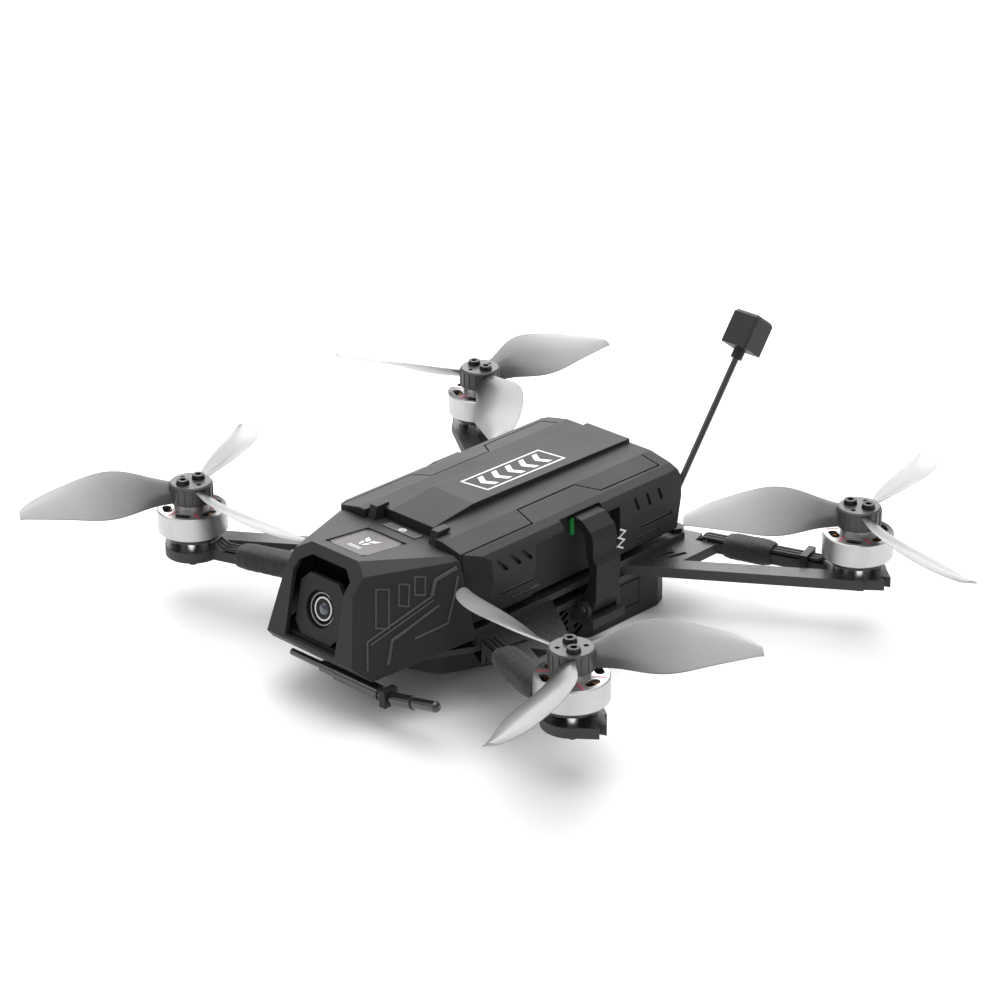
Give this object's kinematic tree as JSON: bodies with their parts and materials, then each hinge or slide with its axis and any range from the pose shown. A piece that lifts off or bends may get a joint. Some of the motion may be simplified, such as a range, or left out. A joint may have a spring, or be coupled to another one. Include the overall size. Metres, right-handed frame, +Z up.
{
  "type": "fpv racing drone",
  "caption": "Quadcopter racing drone with faceted nose camera, V-beam arms, three-blade propellers and a latched slide-in battery pack on top.",
  "frame": {"origin": "on the ground under the middle of the four motors, in the flat belly face", "axes": "+Z up, nose towards -Y, +X to the drone's left"},
  "size_m": [0.2793, 0.244, 0.0849],
  "materials": {
    "frame_plate": "carbon fibre laminate, satin",
    "sleeve_weave": "braided polyester sleeve",
    "bell_aluminium": "satin anodised",
    "magnet": "nickel plated",
    "steel": "ground",
    "smoke_plastic": "translucent smoke polycarbonate",
    "black_steel": "black oxide",
    "base_aluminium": "satin",
    "stator_steel": "laminated, coated",
    "copper": "enamelled copper wire",
    "lead_silicone": "silicone insulation",
    "circuit_board": "solder mask",
    "shield_can": "tinned steel",
    "lens_glass": "coated glass",
    "camera_black": "fine texture",
    "cell_foil": "laminated foil pouch",
    "black_plastic": "moulded nylon",
    "antenna_black": "glossy jacket",
    "antenna_cap": "moulded",
    "tie_nylon": "nylon",
    "latch_rubber": "moulded elastomer",
    "button_plastic": "moulded",
    "shell_plastic": "fine spark texture"
  },
  "bodies": {
    "frame": {"antenna_head": "antenna_cap", "antenna_mast": "antenna_black", "antenna_mount": "black_plastic", "arm_front_left": "frame_plate", "arm_front_right": "frame_plate", "arm_rear_left": "frame_plate", "arm_rear_right": "frame_plate", "arm_sleeves": "sleeve_weave", "battery_rails": "black_plastic", "battery_socket": "black_plastic", "belly_shell": "shell_plastic", "bottom_plate": "frame_plate", "cable_ties": "tie_nylon", "camera_body": "camera_black", "camera_glass": "lens_glass", "camera_lens": "camera_black", "esc_board": "circuit_board", "flight_controller": "circuit_board", "frame_screws": "black_steel", "front_hooks": "shell_plastic", "latch_pins": "steel", "motor_bases": "base_aluminium", "motor_bearings": "steel", "motor_leads": "lead_silicone", "motor_screws": "black_steel", "nose_shell": "shell_plastic", "receiver_antenna": "antenna_black", "receiver_board": "circuit_board", "stack_posts": "black_steel", "stator_cores": "stator_steel", "stator_windings": "copper", "top_plate": "frame_plate", "video_transmitter": "shield_can"},
    "rotor_front_left": {"bell_front_left": "bell_aluminium", "magnets_front_left": "magnet", "shaft_front_left": "steel", "propeller_front_left": "smoke_plastic", "prop_screws_front_left": "black_steel"},
    "rotor_front_right": {"bell_front_right": "bell_aluminium", "magnets_front_right": "magnet", "shaft_front_right": "steel", "propeller_front_right": "smoke_plastic", "prop_screws_front_right": "black_steel"},
    "rotor_rear_left": {"bell_rear_left": "bell_aluminium", "magnets_rear_left": "magnet", "shaft_rear_left": "steel", "propeller_rear_left": "smoke_plastic", "prop_screws_rear_left": "black_steel"},
    "rotor_rear_right": {"bell_rear_right": "bell_aluminium", "magnets_rear_right": "magnet", "shaft_rear_right": "steel", "propeller_rear_right": "smoke_plastic", "prop_screws_rear_right": "black_steel"},
    "battery_pack": {"battery_shell": "shell_plastic", "battery_base": "shell_plastic", "battery_cells": "cell_foil", "battery_plug": "black_plastic"},
    "latch_left": {"latch_left": "latch_rubber"},
    "latch_right": {"latch_right": "latch_rubber"},
    "power_button": {"power_button": "button_plastic"}
  },
  "joints": [
    {"name": "spin_front_left", "type": "hinge", "parent": "frame", "child": "rotor_front_left", "pos_m": [0.0851, -0.0671, 0.03], "axis": [0, 0, 1], "continuous": true},
    {"name": "spin_front_right", "type": "hinge", "parent": "frame", "child": "rotor_front_right", "pos_m": [-0.0851, -0.0671, 0.03], "axis": [0, 0, 1], "continuous": true},
    {"name": "spin_rear_left", "type": "hinge", "parent": "frame", "child": "rotor_rear_left", "pos_m": [0.0851, 0.0671, 0.03], "axis": [0, 0, 1], "continuous": true},
    {"name": "spin_rear_right", "type": "hinge", "parent": "frame", "child": "rotor_rear_right", "pos_m": [-0.0851, 0.0671, 0.03], "axis": [0, 0, 1], "continuous": true},
    {"name": "latch_left_hinge", "type": "hinge", "parent": "frame", "child": "latch_left", "pos_m": [0.0355, -0.0016, 0.0156], "axis": [0, 1, 0], "range_deg": [0, 40]},
    {"name": "latch_right_hinge", "type": "hinge", "parent": "frame", "child": "latch_right", "pos_m": [-0.0355, -0.0016, 0.0156], "axis": [0, -1, 0], "range_deg": [0, 40]},
    {"name": "battery_slide", "type": "slide", "parent": "frame", "child": "battery_pack", "axis": [0, 1, 0], "range_m": [0, 0.0032]},
    {"name": "button_press", "type": "slide", "parent": "frame", "child": "power_button", "axis": [0, 0, -1], "range_m": [0, 0.0005], "stiffness_N_per_m": 500}
  ]
}
